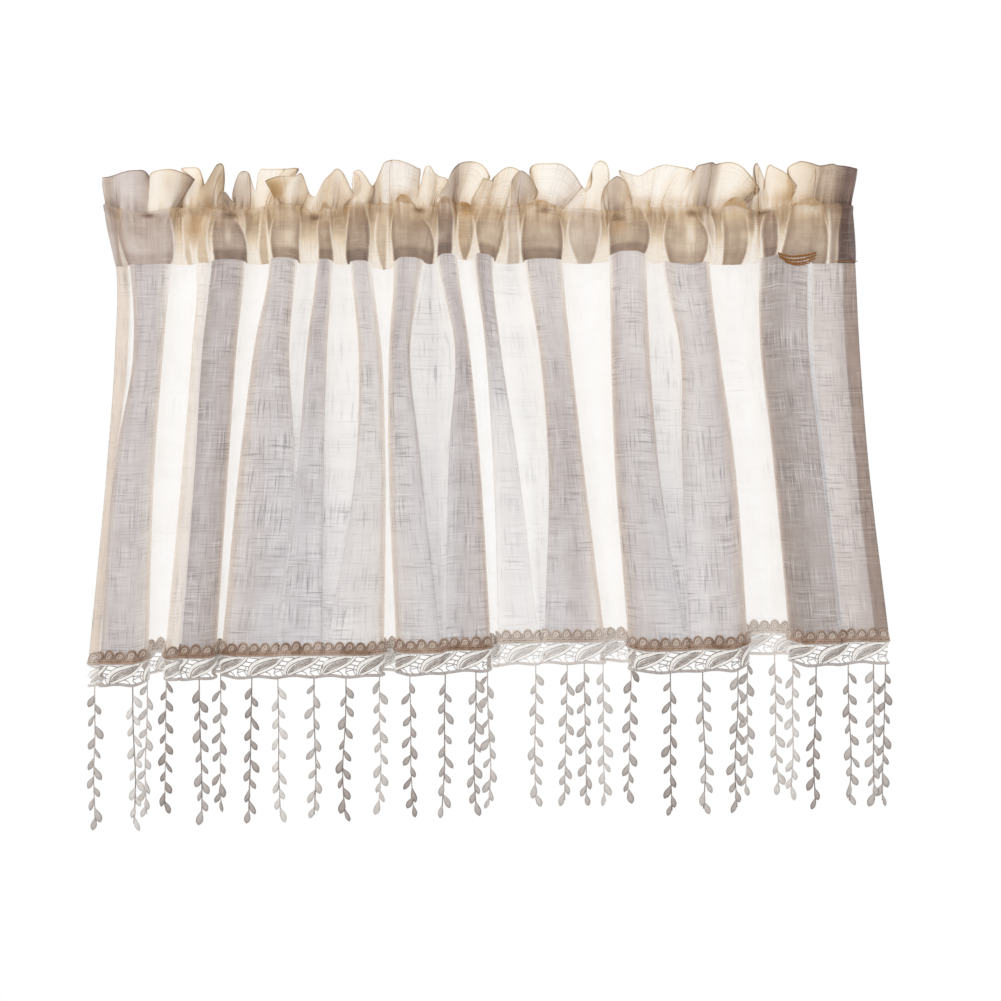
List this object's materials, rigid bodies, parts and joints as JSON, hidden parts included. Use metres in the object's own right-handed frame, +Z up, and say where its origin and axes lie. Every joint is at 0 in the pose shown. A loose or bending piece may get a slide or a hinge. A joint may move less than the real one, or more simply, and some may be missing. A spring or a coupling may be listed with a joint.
{
  "type": "cafe curtain",
  "caption": "Short sheer curtain on a gathered rod-pocket heading, hanging in folds, with a looped braid, a lace band and leaf tassels along its hem.",
  "frame": {"origin": "middle of the top edge of the ruffled heading, between the front and the back of its folds", "axes": "+Z up, +X along the curtain to the viewer's right, -Y towards the room"},
  "size_m": [0.8015, 0.0442, 0.6629],
  "materials": {
    "heading_linen": "gathered sheer slub linen, several layers deep",
    "sheer_linen": "sheer off-white slub linen, matt",
    "gimp_braid": "matt brown looped gimp",
    "guipure_lace": "white corded guipure",
    "leaf_tassel": "grey-beige cloth leaves, matt"
  },
  "bodies": {
    "root": {"heading": "heading_linen", "panel": "sheer_linen", "braid": "gimp_braid", "lace": "guipure_lace", "leaf_fringe": "leaf_tassel"}
  },
  "joints": []
}
